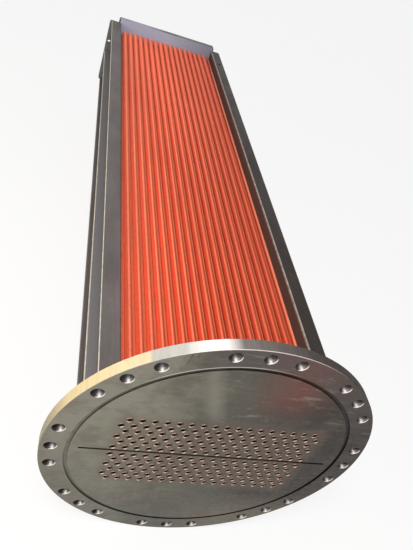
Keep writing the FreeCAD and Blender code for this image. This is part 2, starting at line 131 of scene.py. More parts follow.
class TubeSizes(bpy.types.PropertyGroup):
    tube_diameter: length_property("Tube diameter", "Outside diameter of a tube", 16 * MILLIMETRE)
    tube_wall: length_property("Tube wall", "Thickness of a tube's wall", 1.5 * MILLIMETRE)
    fin_diameter: length_property("Fin diameter", "Across the tips of a tube's fins", 24 * MILLIMETRE)
    fin_pitch: length_property("Fin pitch", "From one fin to the next", 3.2 * MILLIMETRE)
    fin_tip: length_property("Fin tip", "Thickness of a fin at its tip", 0.5 * MILLIMETRE)
    collar: length_property("Fin collar", "Thickness of the collar between two fins", 0.5 * MILLIMETRE)
    end_gap: length_property("End gap", "Bare tube between a sheet and the first fin", 5 * MILLIMETRE)


class FinishColours(bpy.types.PropertyGroup):
    # This colour is also the painted highlight along the fins' ridges and at the strips' crowns.
    copper: colour_property("Bright copper", "Ridges of the fins", colour(255, 152, 114))
    copper_dark: colour_property("Red copper", "Flanks of the fins", colour(216, 84, 58))
    tube_end: colour_property("Tube ends", "Rings round the tubes' bores", colour(212, 182, 166))
    steel: colour_property("Machined steel", "Turned face of the tube sheet", colour(128, 124, 112))
    # Besides oil stain, this colour gives the painted shade at the right of the turned face and in its
    # recesses.
    steel_dark: colour_property("Stained steel", "Oil stain on the turned face", colour(84, 70, 60))
    scale: colour_property("Mill scale", "Left channel, rails and cleats", colour(96, 90, 89))
    brown_scale: colour_property("Brown scale", "Right channel", colour(62, 50, 46))
    rear: colour_property("Rear sheet", "Primed rear tube sheet", colour(160, 160, 178))
    paint: colour_property("Header paint", "Return header", colour(120, 126, 138))
    zinc: colour_property("Zinc", "Screws and bolts", colour(178, 178, 180))
    brass: colour_property("Brass", "Vent and drain plugs", colour(196, 160, 92))
    fibre: colour_property("Fibre", "Gasket", colour(52, 50, 48))


class StudioSettings(bpy.types.PropertyGroup):
    key_power: light_property("Key power", "Power of the large lamp overhead", 80.0, "POWER")
    side_power: light_property("Side power", "Power of the warm lamp at the left", 34.0, "POWER")
    sky: light_property("Sky", "Strength of the plain light from all round", 0.42)


# Materials


class Finish:
    """A material being made: its shader, and short ways to feed it."""

    def __init__(self, name, base, metallic, roughness):
        self.material = bpy.data.materials.new(name)
        self.material.use_nodes = True
        self.tree = self.material.node_tree
        self.shader = self.tree.nodes["Principled BSDF"]
        self.shader.inputs["Base Color"].default_value = base
        self.shader.inputs["Metallic"].default_value = metallic
        self.shader.inputs["Roughness"].default_value = roughness
        where = self.add("ShaderNodeTexCoord")
        self.place = where.outputs["Object"]
        self.facing = where.outputs["Normal"]

    def feed(self, socket, source):
        if isinstance(source, bpy.types.NodeSocket):
            self.tree.links.new(source, socket)
        else:
            socket.default_value = source

    def add(self, kind, inputs=None, **settings):
        node = self.tree.nodes.new(kind)
        for name, setting in settings.items():
            setattr(node, name, setting)
        for name, source in (inputs or {}).items():
            self.feed(node.inputs[name], source)
        return node

    def maths(self, operation, first, second=0.0):
        return self.add("ShaderNodeMath", {0: first, 1: second}, operation=operation).outputs[0]

    def plus(self, first, second):
        return self.maths("ADD", first, second)

    def minus(self, first, second):
        return self.maths("SUBTRACT", first, second)

    def times(self, *shares):
        """All the shares multiplied together."""
        total = shares[0]
        for share in shares[1:]:
            total = self.maths("MULTIPLY", total, share)
        return total

    def larger(self, first, second):
        return self.maths("MAXIMUM", first, second)

    def unsigned(self, value):
        return self.maths("ABSOLUTE", value)

    def axes(self):
        """The three coordinates of the point, in metres."""
        split = self.add("ShaderNodeSeparateXYZ", {"Vector": self.place})
        return split.outputs["X"], split.outputs["Y"], split.outputs["Z"]

    def turned_to(self, across, along, up):
        """1 where the surface faces this direction, 0 where it is square to it."""
        inputs = {0: self.facing, 1: (across, along, up)}
        return self.add("ShaderNodeVectorMath", inputs, operation="DOT_PRODUCT").outputs["Value"]

    def stretched(self, across, along, up):
        """The place scaled by its own factor along each axis, for noise with a direction."""
        inputs = {"Vector": self.place, "Scale": (across, along, up)}
        return self.add("ShaderNodeMapping", inputs).outputs["Vector"]

    def noise(self, scale, detail=3.0, roughness=0.5, vector=None):
        inputs = {"Vector": vector or self.place, "Scale": scale, "Detail": detail, "Roughness": roughness}
        return self.add("ShaderNodeTexNoise", inputs).outputs["Fac"]

    def fade(self, source, start, end, low=0.0, high=1.0):
        """The source taken from start..end to low..high, and held there outside."""
        inputs = {"Value": source, "From Min": start, "From Max": end, "To Min": low, "To Max": high}
        return self.add("ShaderNodeMapRange", inputs, clamp=True).outputs["Result"]

    def mixed(self, share, first, second):
        """The first colour, with this share of the second."""
        inputs = {0: share, 6: first, 7: second}
        return self.add("ShaderNodeMix", inputs, data_type="RGBA").outputs[2]

    def stops(self, source, *stops):
        """A colour ramp through the stops, each a place from 0 to 1 and a colour."""
        ramp = self.add("ShaderNodeValToRGB", {"Fac": source})
        elements = ramp.color_ramp.elements
        for element, (place, tint) in ((elements[0], stops[0]), (elements[1], stops[-1])):
            element.position, element.color = place, tint
        for place, tint in stops[1:-1]:
            elements.new(place).color = tint
        return ramp.outputs["Color"]

    def coloured(self, source):
        self.feed(self.shader.inputs["Base Color"], source)

    def roughened(self, source):
        self.feed(self.shader.inputs["Roughness"], source)

    def bumped(self, height, distance):
        """Relief of this depth, on top of any relief that is there already."""
        inputs = {"Height": height, "Distance": distance}
        normal = self.shader.inputs["Normal"]
        if normal.is_linked:
            inputs["Normal"] = normal.links[0].from_socket
        self.feed(normal, self.add("ShaderNodeBump", inputs).outputs["Normal"])


def turned_steel(colours):
    """A machined face with turning marks, haze, smears and drips, painted light and shade across it, bolt
    bores with painted highlights and shade, and a brushed rim with painted reflections.
    """
    steel, dark = tuple(colours.steel), tuple(colours.steel_dark)
    finish = Finish("turned_steel", steel, metallic=0.40, roughness=0.42)
    finish.shader.inputs["Specular IOR Level"].default_value = 0.25
    x, y, z = finish.axes()
    radius = finish.maths("SQRT", finish.plus(finish.times(x, x), finish.times(z, z)))
    beyond_groove = finish.minus(radius, GROOVE_EDGE)
    cloud = finish.noise(5.0, 6.0, 0.66)
    marks = {"W": radius, "Scale": 900.0, "Detail": 2.0}
    rings = finish.add("ShaderNodeTexNoise", marks, noise_dimensions="1D").outputs["Fac"]

    face = stained_and_shaded_face(finish, steel, dark, cloud, beyond_groove)
    face = marked_face(finish, steel, dark, rings, face)
    face = grooved_face(finish, dark, beyond_groove, face)
    bores, bore_light_and_shade = bolt_bores(finish, beyond_groove)
    face = finish.mixed(bores, face, bore_light_and_shade)
    back = finish.fade(y, SHEET_BACK - 0.6 * MILLIMETRE, SHEET_BACK - 0.2 * MILLIMETRE)
    dull = finish.mixed(finish.fade(cloud, 0.35, 0.65), shade(steel, 0.55), shade(steel, 0.85))
    face = finish.mixed(back, face, dull)

    rim = finish.fade(radius, SHEET_RADIUS - 1.4 * MILLIMETRE, SHEET_RADIUS - 0.9 * MILLIMETRE)
    finish.coloured(finish.mixed(rim, face, brushed_rim_reflections(finish, steel)))
    # Painted shade: at the right the rim is made less metallic and rougher, so that it shows darker there.
    shaded_rim = finish.times(rim, finish.fade(x, 0.04, 0.14))
    metal = finish.fade(finish.larger(bores, rim), 0.0, 1.0, 0.42, 0.25)
    metal = finish.times(metal, finish.minus(1.0, shaded_rim))
    finish.feed(finish.shader.inputs["Metallic"], metal)
    rough = finish.fade(finish.noise(70.0, 5.0, 0.6), 0.25, 0.8, 0.30, 0.58)
    finish.roughened(finish.plus(rough, finish.times(shaded_rim, 0.35)))
    finish.bumped(rings, 0.06 * MILLIMETRE)
    finish.bumped(finish.noise(420.0, 3.0), 0.03 * MILLIMETRE)
    return finish.material


def stained_and_shaded_face(finish, steel, dark, cloud, beyond_groove):
    """The turned face's broad tones: painted light at the left and painted shade, brown and dark, at the
    right, with oily haze, a painted reflection in green, a painted sheen and a reddish patch.
    """
    x, _, z = finish.axes()
    # Painted light at the left and painted shade, brown and dark, at the right.
    across = finish.plus(x, finish.times(finish.minus(cloud, 0.5), 0.42))
    face = finish.stops(
        finish.fade(across, -0.42, 0.42),
        (0.0, shade(steel, 1.18)),
        (0.26, shade(steel, 1.16)),
        (0.40, shade(steel, 0.50)),
        (0.56, shade(steel, 0.36)),
        (0.74, shade(dark, 0.38)),
        (1.0, shade(dark, 0.20)),
    )
    # Darker towards the bottom, more so at the left.
    lower = finish.fade(finish.plus(z, finish.times(across, 0.6)), -0.14, -0.40, 0.0, 0.55)
    face = finish.mixed(lower, face, shade(steel, 0.42))
    warm = finish.times(finish.fade(z, -0.18, -0.32, 0.0, 0.5), finish.fade(x, -0.05, 0.15))
    face = finish.mixed(warm, face, colour(126, 118, 98))
    # Painted reflection: greenish patches on the left part of the face.
    green = finish.fade(finish.noise(9.0, 5.0, 0.62), 0.50, 0.66, 0.0, 0.40)
    face = finish.mixed(finish.times(green, finish.fade(x, 0.1, -0.1)), face, colour(116, 126, 104))
    haze = finish.noise(12.0, 6.0, 0.70, finish.stretched(0.7, 1.0, 1.2))
    face = finish.mixed(finish.fade(haze, 0.48, 0.62, 0.0, 0.42), face, shade(dark, 1.05))

    # A reddish patch at the upper right.
    reddish_patch = finish.times(finish.fade(x, -0.01, 0.08), finish.fade(x, 0.24, 0.13), finish.fade(z, 0.18, 0.30))
    reddish_patch = finish.times(reddish_patch, finish.fade(cloud, 0.36, 0.56, 0.35, 0.72))
    face = finish.mixed(reddish_patch, face, colour(124, 66, 58))
    # Painted sheen: a slanting bright band high on the face, inside the ring groove.
    slant = finish.plus(finish.plus(x, finish.times(finish.minus(z, 0.26), 0.36)), 0.078)
    shine = finish.fade(finish.unsigned(slant), 0.034, 0.004, 0.0, 0.72)
    within = finish.fade(beyond_groove, -1.5 * MILLIMETRE, -10.5 * MILLIMETRE)
    shine = finish.times(shine, finish.fade(z, 0.13, 0.20), within)
    face = finish.mixed(shine, face, shade(steel, 1.10))
    field = finish.times(
        finish.fade(finish.unsigned(z), 0.17, 0.13), finish.fade(finish.unsigned(x), 0.29, 0.25), 0.58
    )
    face = finish.mixed(field, face, colour(106, 88, 74))
    outer = finish.fade(beyond_groove, 0.5 * MILLIMETRE, 2.5 * MILLIMETRE)
    stain = finish.times(outer, finish.fade(x, -0.150, -0.135), finish.fade(z, 0.1, 0.3), 0.55)
    return finish.mixed(stain, face, colour(84, 74, 74))


def marked_face(finish, steel, dark, rings, face):
    """The turned face with its smears, scratches, drips and turning marks."""
    x, _, z = finish.axes()
    streaks = finish.noise(30.0, 7.0, 0.80, finish.stretched(0.32, 1.0, 1.5))
    middle = finish.fade(finish.unsigned(x), 0.36, 0.12, 0.35, 1.0)
    middle = finish.times(finish.fade(z, 0.06, 0.18), middle)
    smears = finish.times(finish.fade(streaks, 0.55, 0.68), finish.fade(middle, 0.0, 1.0, 0.22, 0.62))
    face = finish.mixed(smears, face, shade(steel, 1.45))
    scratches = finish.noise(60.0, 4.0, 0.7, finish.stretched(0.10, 1.0, 2.2))
    face = finish.mixed(finish.fade(scratches, 0.64, 0.70, 0.0, 0.34), face, shade(steel, 1.6))
    drips = finish.noise(30.0, 3.0, 0.6, finish.stretched(2.4, 1.0, 0.30))
    upper_left = finish.times(finish.fade(z, 0.30, 0.38), finish.fade(x, 0.05, -0.05))
    drips = finish.times(finish.fade(drips, 0.63, 0.70, 0.0, 0.75), upper_left)
    face = finish.mixed(drips, face, shade(dark, 0.35))
    return finish.mixed(finish.fade(rings, 0.3, 0.7, 0.0, 0.14), face, shade(steel, 0.45))


def grooved_face(finish, dark, beyond_groove, face):
    """Painted shade in the grooves, less of it on the ring groove's floor towards the left, and a painted
    highlight along that groove's outer edge.
    """
    x, y, z = finish.axes()
    # Painted shade in the grooves.
    in_grooves = finish.fade(beyond_groove, 6.5 * MILLIMETRE, 4.5 * MILLIMETRE)
    grooves = finish.times(finish.fade(y, 0.4 * MILLIMETRE, 1.0 * MILLIMETRE), in_grooves)
    # Less painted shade on the ring groove's floor, most at the left.
    floor = finish.times(
        finish.fade(y, 3.4 * MILLIMETRE, 3.8 * MILLIMETRE),
        finish.fade(x, 0.25, -0.10),
        finish.fade(beyond_groove, -25.5 * MILLIMETRE, -15.5 * MILLIMETRE, 0.0, 0.72),
    )
    face = finish.mixed(finish.times(grooves, finish.minus(0.90, floor)), face, shade(dark, 0.10))
    # Painted highlight along the ring groove's outer edge, high on the face.
    edge = finish.times(
        finish.fade(beyond_groove, -0.2 * MILLIMETRE, 0.3 * MILLIMETRE),
        finish.fade(beyond_groove, 3.3 * MILLIMETRE, 2.5 * MILLIMETRE),
    )
    edge = finish.times(edge, finish.fade(z, 0.24, 0.30), finish.fade(x, 0.10, -0.02))
    edge = finish.times(edge, finish.fade(x, -0.28, -0.20), 0.70)
    return finish.mixed(edge, face, colour(206, 198, 196))


def bolt_bores(finish, beyond_groove):
    """Where the bolt bores are, and their steel with painted light and shade: a painted highlight down one
    side of the wall, painted shade deeper in, and a painted highlight on the lip.
    """
    _, y, _ = finish.axes()
    bores = finish.times(
        finish.fade(y, 0.1 * MILLIMETRE, 0.3 * MILLIMETRE),
        finish.fade(y, SHEET_BACK - 0.1 * MILLIMETRE, SHEET_BACK - 0.3 * MILLIMETRE),
        finish.fade(beyond_groove, 8.5 * MILLIMETRE, 10.5 * MILLIMETRE),
    )
    # Painted highlight: a bright band down one side of each bore, darker round the rest.
    wall = finish.stops(
        finish.fade(finish.turned_to(1.0, 0.0, 0.0), -1.0, 1.0),
        (0.0, colour(112, 106, 104)),
        (0.16, colour(150, 144, 142)),
        (0.27, colour(250, 245, 243)),
        (0.36, colour(232, 226, 224)),
        (0.44, colour(136, 130, 128)),
        (0.58, colour(70, 64, 63)),
        (1.0, colour(40, 36, 36)),
    )
    # Painted shade deeper in the bores.
    depth = finish.fade(y, 9 * MILLIMETRE, 20 * MILLIMETRE, 0.0, 0.80)
    wall = finish.mixed(depth, wall, colour(46, 42, 41))
    # Painted highlight on the lip, where it faces up and to the left.
    lit = finish.fade(finish.turned_to(-0.75, 0.0, 0.66), 0.30, 0.55)
    lip = finish.mixed(lit, colour(62, 56, 55), colour(232, 226, 224))
    mouth = finish.fade(y, 1.6 * MILLIMETRE, 1.3 * MILLIMETRE)
    return bores, finish.mixed(mouth, wall, lip)


def brushed_rim_reflections(finish, steel):
    """The round sheet's rim with painted reflections: cream at the left, bright in the middle and dark at the
    right, with brushing marks and a painted highlight along its front bevel.
    """
    x, y, _ = finish.axes()
    # Painted reflections round the rim.
    rim = finish.stops(
        finish.fade(x, -0.425, 0.425),
        (0.0, colour(124, 118, 92)),
        (0.045, colour(206, 188, 146)),
        (0.205, colour(220, 198, 164)),
        (0.215, colour(176, 173, 169)),
        (0.285, colour(186, 183, 180)),
        (0.325, colour(236, 232, 229)),
        (0.380, colour(232, 228, 225)),
        (0.420, colour(104, 98, 97)),
        (0.530, colour(76, 68, 66)),
        (0.620, colour(52, 44, 42)),
        (1.0, colour(34, 28, 26)),
    )
    brushed = finish.noise(90.0, 4.0, 0.6, finish.stretched(1.0, 0.12, 1.0))
    brushed = finish.fade(brushed, 0.35, 0.75, 0.0, 0.30)
    rim = finish.mixed(finish.times(brushed, finish.fade(x, 0.10, -0.05, 0.35, 1.0)), rim, shade(steel, 1.2))
    # Painted highlight along the front bevel.
    bevel = finish.times(finish.fade(y, 1.6 * MILLIMETRE, 1.0 * MILLIMETRE), 0.75)
    bevel = finish.times(bevel, finish.fade(x, -0.22, -0.10), finish.fade(x, 0.22, 0.08))
    return finish.mixed(bevel, rim, colour(226, 214, 208))


def mill_scale(name, base, edge, shelf_shading, inner_painted_light):
    """Rolled steel: scale with pale specks, rust haze and rolling streaks, painted light on the web's outer
    face, the rail in a tint given for each channel, painted light on the web's inner face where it is asked
    for, and painted highlights along the edges.
    """
    finish = Finish(name, base, metallic=0.30, roughness=0.5)
    finish.shader.inputs["Specular IOR Level"].default_value = 0.35
    x, _, z = finish.axes()
    side, level = finish.unsigned(x), finish.unsigned(z)
    from_web, below_top = finish.minus(side, WEB_FACE), finish.minus(FLANGE_TOP, level)
    cloud = finish.noise(9.0, 5.0, 0.6, finish.stretched(1.0, 0.45, 1.0))
    skin = finish.mixed(finish.fade(cloud, 0.3, 0.7), shade(base, 0.76), shade(base, 1.14))
    # Painted light on the web's outer face, under the upper flange.
    web = finish.times(
        finish.fade(from_web, 18 * MILLIMETRE, 16 * MILLIMETRE),
        finish.fade(from_web, 2.4 * MILLIMETRE, 3.4 * MILLIMETRE),
        finish.fade(below_top, 10.5 * MILLIMETRE, 14.5 * MILLIMETRE),
        0.75,
    )
    skin = finish.mixed(web, skin, shade(base, 1.55))
    rust = finish.fade(finish.noise(14.0, 4.0, 0.65), 0.56, 0.78, 0.0, 0.30)
    skin = finish.mixed(rust, skin, colour(96, 66, 54))
    streaks = finish.noise(120.0, 3.0, 0.6, finish.stretched(1.0, 0.06, 1.0))
    skin = finish.mixed(finish.fade(streaks, 0.50, 0.78, 0.0, 0.22), skin, shade(base, 1.7))
    specks = finish.fade(finish.noise(230.0, 2.0, 0.5), 0.71, 0.76, 0.0, 0.6)
    skin = finish.mixed(specks, skin, colour(196, 190, 186))

    # The rail in a tint given for each channel: painted light on the grey channel.
    shelf = finish.times(
        finish.fade(from_web, 17 * MILLIMETRE, 19 * MILLIMETRE),
        finish.fade(level, RAIL_HIGH.z + 4 * MILLIMETRE, RAIL_HIGH.z + 2 * MILLIMETRE),
        0.55,
    )
    skin = finish.mixed(shelf, skin, shelf_shading)
    # Painted light on the web's inner face, as much as is asked for.
    inner_face = finish.times(
        finish.fade(from_web, 3.4 * MILLIMETRE, 2.8 * MILLIMETRE),
        finish.fade(below_top, 4.5 * MILLIMETRE, 8.5 * MILLIMETRE),
        inner_painted_light,
    )
    skin = finish.mixed(inner_face, skin, colour(78, 61, 58))
    # Painted highlights along the web's inner top edge, the upper flange's outer edge and the rail's outer
    # edge.
    inner_edge = finish.times(
        finish.fade(from_web, 5.2 * MILLIMETRE, 3.8 * MILLIMETRE),
        finish.fade(below_top, 8.5 * MILLIMETRE, 1.5 * MILLIMETRE),
        inner_painted_light,
    )
    flange_edge = finish.times(
        finish.fade(side, CHANNEL_HIGH.x - 1.8 * MILLIMETRE, CHANNEL_HIGH.x - 0.6 * MILLIMETRE),
        finish.fade(z, FLANGE_TOP - 28.5 * MILLIMETRE, FLANGE_TOP - 23.5 * MILLIMETRE),
    )
    rail_edge = finish.fade(side, RAIL_HIGH.x - 3.0 * MILLIMETRE, RAIL_HIGH.x - 1.8 * MILLIMETRE)
    edge_highlights = finish.larger(finish.larger(inner_edge, flange_edge), finish.times(rail_edge, 0.7))
    edge_highlights = finish.times(edge_highlights, finish.fade(finish.noise(40.0, 3.0), 0.3, 0.6, 0.45, 0.95))
    finish.coloured(finish.mixed(edge_highlights, skin, edge))
    finish.roughened(finish.fade(cloud, 0.3, 0.75, 0.62, 0.42))
    finish.bumped(finish.noise(300.0, 4.0, 0.6), 0.12 * MILLIMETRE)
    return finish.material


def primed_steel(colours):
    """A flame-cut plate in thin blue-grey primer, with painted light on its front face, lighter at the left,
    and dark lugs and a dark top edge at the right, bare metal with painted shade.
    """
    base = tuple(colours.rear)
    finish = Finish("primed_steel", base, metallic=0.05, roughness=0.6)
    x, y, z = finish.axes()
    cloud = finish.noise(11.0, 5.0, 0.6)
    skin = finish.mixed(finish.fade(cloud, 0.3, 0.75), shade(base, 0.90), shade(base, 1.08))
    # Painted light on the front face, lighter at the left than at the right.
    front = finish.fade(y, REAR_LOW.y + 1.0 * MILLIMETRE, REAR_LOW.y + 0.5 * MILLIMETRE, 0.0, 0.85)
    lit = finish.mixed(finish.fade(x, 0.0, 0.27), colour(178, 190, 216), colour(134, 142, 160))
    skin = finish.mixed(front, skin, lit)
    # Dark on the lugs and on the top edge at the right: bare metal, with painted shade.
    bare = finish.mixed(finish.fade(cloud, 0.35, 0.7), colour(84, 84, 86), colour(112, 110, 110))
    lugs = finish.fade(finish.unsigned(x), 276 * MILLIMETRE, 280 * MILLIMETRE)
    top = finish.fade(z, REAR_HIGH.z - 1.2 * MILLIMETRE, REAR_HIGH.z - 0.6 * MILLIMETRE)
    top = finish.times(top, finish.fade(x, -0.12, -0.02))
    skin = finish.mixed(finish.larger(lugs, top), skin, bare)
    scratches = finish.noise(150.0, 3.0, 0.7, finish.stretched(0.2, 1.0, 1.0))
    finish.coloured(finish.mixed(finish.fade(scratches, 0.62, 0.74, 0.0, 0.35), skin, shade(base, 0.5)))
    finish.roughened(finish.fade(cloud, 0.3, 0.8, 0.62, 0.45))
    finish.bumped(finish.noise(240.0, 4.0, 0.6), 0.10 * MILLIMETRE)
    return finish.material


def header_enamel(colours):
    """Brushed-on enamel with a light orange peel and chalky patches."""
    base = tuple(colours.paint)
    finish = Finish("header_enamel", base, metallic=0.0, roughness=0.38)
    patches = finish.fade(finish.noise(8.0, 4.0, 0.55), 0.35, 0.7)
    finish.coloured(finish.mixed(patches, shade(base, 0.86), shade(base, 1.12)))
    finish.roughened(finish.fade(finish.noise(30.0, 3.0), 0.3, 0.7, 0.32, 0.50))
    finish.bumped(finish.noise(170.0, 2.0, 0.5), 0.15 * MILLIMETRE)
    return finish.material


def fibre_gasket(colours):
    """Compressed fibre sheet, matt and slightly mottled."""
    base = tuple(colours.fibre)
    finish = Finish("fibre_gasket", base, metallic=0.0, roughness=0.85)
    mottle = finish.fade(finish.noise(400.0, 3.0), 0.35, 0.7)
    finish.coloured(finish.mixed(mottle, shade(base, 0.7), shade(base, 1.6)))
    finish.roughened(finish.fade(finish.noise(200.0, 2.0), 0.3, 0.7, 0.75, 0.92))
    finish.bumped(finish.noise(900.0, 3.0), 0.08 * MILLIMETRE)
    return finish.material


def plated(name, base):
    """Plated or cast metal of a small fastener, with handling marks."""
    finish = Finish(name, base, metallic=0.9, roughness=0.34)
    handled = finish.fade(finish.noise(60.0, 4.0, 0.6), 0.35, 0.75)
    finish.coloured(finish.mixed(handled, shade(base, 0.7), shade(base, 1.1)))
    finish.roughened(finish.fade(finish.noise(240.0, 3.0), 0.3, 0.7, 0.26, 0.46))
    finish.bumped(finish.noise(500.0, 3.0), 0.04 * MILLIMETRE)
    return finish.material


def beside_axis(finish, shift):
    """A point's place beside and above the nearest tube's axis. The shift is half a pitch in long rows."""
    x, _, z = finish.axes()
    across = finish.minus(x, shift)
    column = finish.maths("ROUND", finish.maths("DIVIDE", across, TUBE_PITCH))
    beside = finish.minus(across, finish.times(column, TUBE_PITCH))
    level = finish.minus(finish.unsigned(z), FIRST_ROW)
    row = finish.maths("ROUND", finish.maths("DIVIDE", level, ROW_PITCH))
    return beside, finish.minus(level, finish.times(row, ROW_PITCH))


def copper_fins(colours):
    """Copper fins of the outer rows, with light and shade painted round each tube: a painted highlight along
    the ridge, painted shade and a thin painted light line beside it, redder between, and painted light at the
    left of the bundle and painted shade at the right.
    """
    bright, red = tuple(colours.copper), tuple(colours.copper_dark)
    finish = Finish("copper_fins", bright, metallic=0.12, roughness=0.42)
    x, y, _ = finish.axes()
    beside, above = beside_axis(finish, 0.0)
    around = finish.maths("ARCTAN2", beside, above)
    # The painted highlight turns to the left side of each tube, the further right the tube stands.
    around = finish.plus(around, finish.fade(x, -0.24, 0.24, 0.0, 0.66))
    # Painted light and shade round each tube: bright red flanks, the ridge's painted highlight, painted shade
    # beside it, a thin painted light line, and red between.
    skin = finish.stops(
        finish.fade(around, math.radians(-120), math.radians(120)),
        (0.14, colour(255, 96, 62)),
        (0.22, colour(255, 96, 62)),
        (0.41, red),
        (0.46, bright),
        (0.53, shade(bright, 0.94)),
        (0.585, shade(red, 0.88)),
        (0.640, shade(red, 0.58)),
        (0.695, shade(red, 0.66)),
        (0.735, colour(255, 168, 120)),
        (0.795, colour(255, 168, 120)),
        (0.84, colour(255, 120, 82)),
    )
    # Paler towards the far end.
    skin = finish.mixed(finish.fade(y, 1.2, 2.3, 0.0, 0.74), skin, colour(252, 124, 90))
    cloud = finish.noise(5.0, 5.0, 0.6, finish.stretched(1.0, 0.30, 1.0))
    skin = finish.mixed(finish.fade(cloud, 0.42, 0.72, 0.0, 0.30), skin, shade(red, 0.70))
    # Painted light at the left side of the bundle.
    skin = finish.mixed(finish.fade(x, -0.10, -0.24, 0.0, 0.20), skin, shade(bright, 1.05))
    # Painted shade towards the right side of the bundle.
    skin = finish.mixed(finish.fade(x, -0.08, 0.24, 0.0, 0.42), skin, shade(red, 0.62))
    grain = finish.noise(310.0, 2.0, 0.6, finish.stretched(0.35, 1.0, 0.35))
    skin = finish.mixed(finish.fade(grain, 0.45, 0.75, 0.0, 0.34), skin, shade(red, 0.7))
    wander = finish.plus(y, finish.times(finish.noise(9.0), 0.02))
    scuff = finish.unsigned(finish.minus(wander, 1.80))
    scuff = finish.fade(scuff, 4 * MILLIMETRE, 1 * MILLIMETRE, 0.0, 0.22)
    finish.coloured(finish.mixed(scuff, skin, shade(bright, 1.5)))
    finish.roughened(finish.fade(finish.noise(120.0, 3.0), 0.3, 0.7, 0.34, 0.52))
    finish.bumped(finish.noise(700.0, 2.0), 0.04 * MILLIMETRE)
    return finish.material


def copper_tube(colours):
    """Bare drawn tube with painted light and shade on its ends and in its bore, and the rows inside the
    bundle, whose fins show as rings with painted shade between them, with a painted highlight on the crests
    next to the outer rows and painted shade by the left web.
    """
    sizes = bpy.context.scene.bundle_tubes
    bright, red, end = tuple(colours.copper), tuple(colours.copper_dark), tuple(colours.tube_end)
    finish = Finish("copper_tube", bright, metallic=0.05, roughness=0.40)
    x, y, z = finish.axes()
    beside, above = beside_axis(finish, TUBE_PITCH / 2)
    # Painted highlight on the crests of the second row from the top and from the bottom.
    crest = finish.fade(above, 10.8 * MILLIMETRE, 11.7 * MILLIMETRE)
    crest = finish.times(crest, finish.fade(finish.unsigned(z), 0.090, 0.100))
    skin = finish.mixed(crest, colour(255, 112, 74), colour(255, 186, 142))
    # Painted shade next to the left web.
    skin = finish.mixed(finish.fade(x, -0.254, -0.260, 0.0, 0.80), skin, shade(red, 0.10))
    cloud = finish.noise(6.0, 4.0, 0.6, finish.stretched(1.0, 0.35, 1.0))
    skin = finish.mixed(finish.fade(cloud, 0.35, 0.7, 0.0, 0.18), skin, shade(red, 0.8))
    wave = finish.maths("SINE", finish.times(y, 2 * math.pi / sizes.fin_pitch))
    finned = finish.fade(y, SHEET_BACK + 4 * MILLIMETRE, SHEET_BACK + 5 * MILLIMETRE)
    # Painted shade in the valleys between the fins.
    rings = finish.times(finish.fade(wave, -0.2, 0.6, 0.16, 0.0), finned)
    skin = finish.mixed(rings, skin, shade(red, 0.2))

    # Painted light and shade on the tube ends: light low on each ring and shade high on it, light at the
    # mouth and on the bore's lit side, shade deeper in.
    height = finish.times(above, finish.maths("SIGN", z))
    height = finish.minus(height, finish.times(beside, 0.5))
    upper = finish.fade(height, -8 * MILLIMETRE, -4 * MILLIMETRE)
    ring = finish.mixed(upper, shade(end, 1.6), shade(end, 0.04))
    depth = finish.fade(y, -1.0 * MILLIMETRE, 0.6 * MILLIMETRE)
    mouth = finish.mixed(depth, shade(end, 1.5), shade(end, 0.01))
    lit = finish.fade(finish.turned_to(-0.45, 0.0, 0.89), 0.45, 0.85)
    wall = finish.mixed(lit, shade(end, 0.01), mouth)
    ends = finish.mixed(finish.fade(y, -1.2 * MILLIMETRE, -0.6 * MILLIMETRE), ring, wall)
    finish.coloured(finish.mixed(finish.fade(y, SHEET_BACK + 4 * MILLIMETRE, SHEET_BACK), skin, ends))
    finish.roughened(finish.fade(finish.noise(160.0, 3.0), 0.3, 0.7, 0.30, 0.48))
    finish.bumped(finish.times(wave, finned), 0.4 * MILLIMETRE)
    return finish.material


def copper_strip(colours):
    """Half-round copper strips along the webs, with a painted highlight at the crown and painted shade on the
    left strip.
    """
    bright, red = tuple(colours.copper), tuple(colours.copper_dark)
    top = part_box("seal_strips")[1].z
    finish = Finish("copper_strip", bright, metallic=0.25, roughness=0.40)
    x, _, z = finish.axes()
    # Painted highlight at the crown.
    crown = finish.fade(finish.unsigned(z), top - 4 * MILLIMETRE, top - 1 * MILLIMETRE)
    cloud = finish.noise(7.0, 4.0, 0.6, finish.stretched(1.0, 0.3, 1.0))
    cloud = finish.fade(cloud, 0.35, 0.7, 0.0, 0.35)
    skin = finish.mixed(cloud, finish.mixed(crown, red, bright), shade(red, 0.6))
    # Painted shade on the strip at the left.
    finish.coloured(finish.mixed(finish.fade(x, 0.0, -0.01, 0.0, 0.8), skin, shade(red, 0.12)))
    finish.roughened(finish.fade(finish.noise(160.0, 3.0), 0.3, 0.7, 0.32, 0.50))
    finish.bumped(finish.noise(500.0, 3.0), 0.05 * MILLIMETRE)
    return finish.material


def finish_named(name, maker):
    """The finish by its name, made the first time that it is asked for."""
    return bpy.data.materials.get(name) or maker(bpy.context.scene.bundle_finishes)


def dress(nodes, material):
    """Give solids their finish. Their shapes stay as they are."""
    for name in nodes:
        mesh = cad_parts[name].data
        if not mesh.materials:
            mesh.materials.append(material)
        for slot in range(len(mesh.materials)):
            mesh.materials[slot] = material


# Tubes and fins


def tube_places(node):
    """Where the tubes of a row stand across the bundle."""
    low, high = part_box(node)
    radius = (high.z - low.z) / 2
    reach = high.x - low.x - 2 * radius
    steps = round(reach / TUBE_PITCH)
    return [low.x + radius + reach / steps * i for i in range(steps + 1)]


def lathe(along, radii, angles, axis):
    """Points of a turned skin: rings at places along its axis, each with one radius or one for each angle."""
    radii = np.reshape(radii, (len(along), -1))
    across, up = radii * np.sin(angles), radii * np.cos(angles)
    places = np.broadcast_to(np.reshape(along, (-1, 1)), across.shape)
    return np.stack([across, places, up], axis=-1) + np.array([axis[0], 0.0, axis[1]])


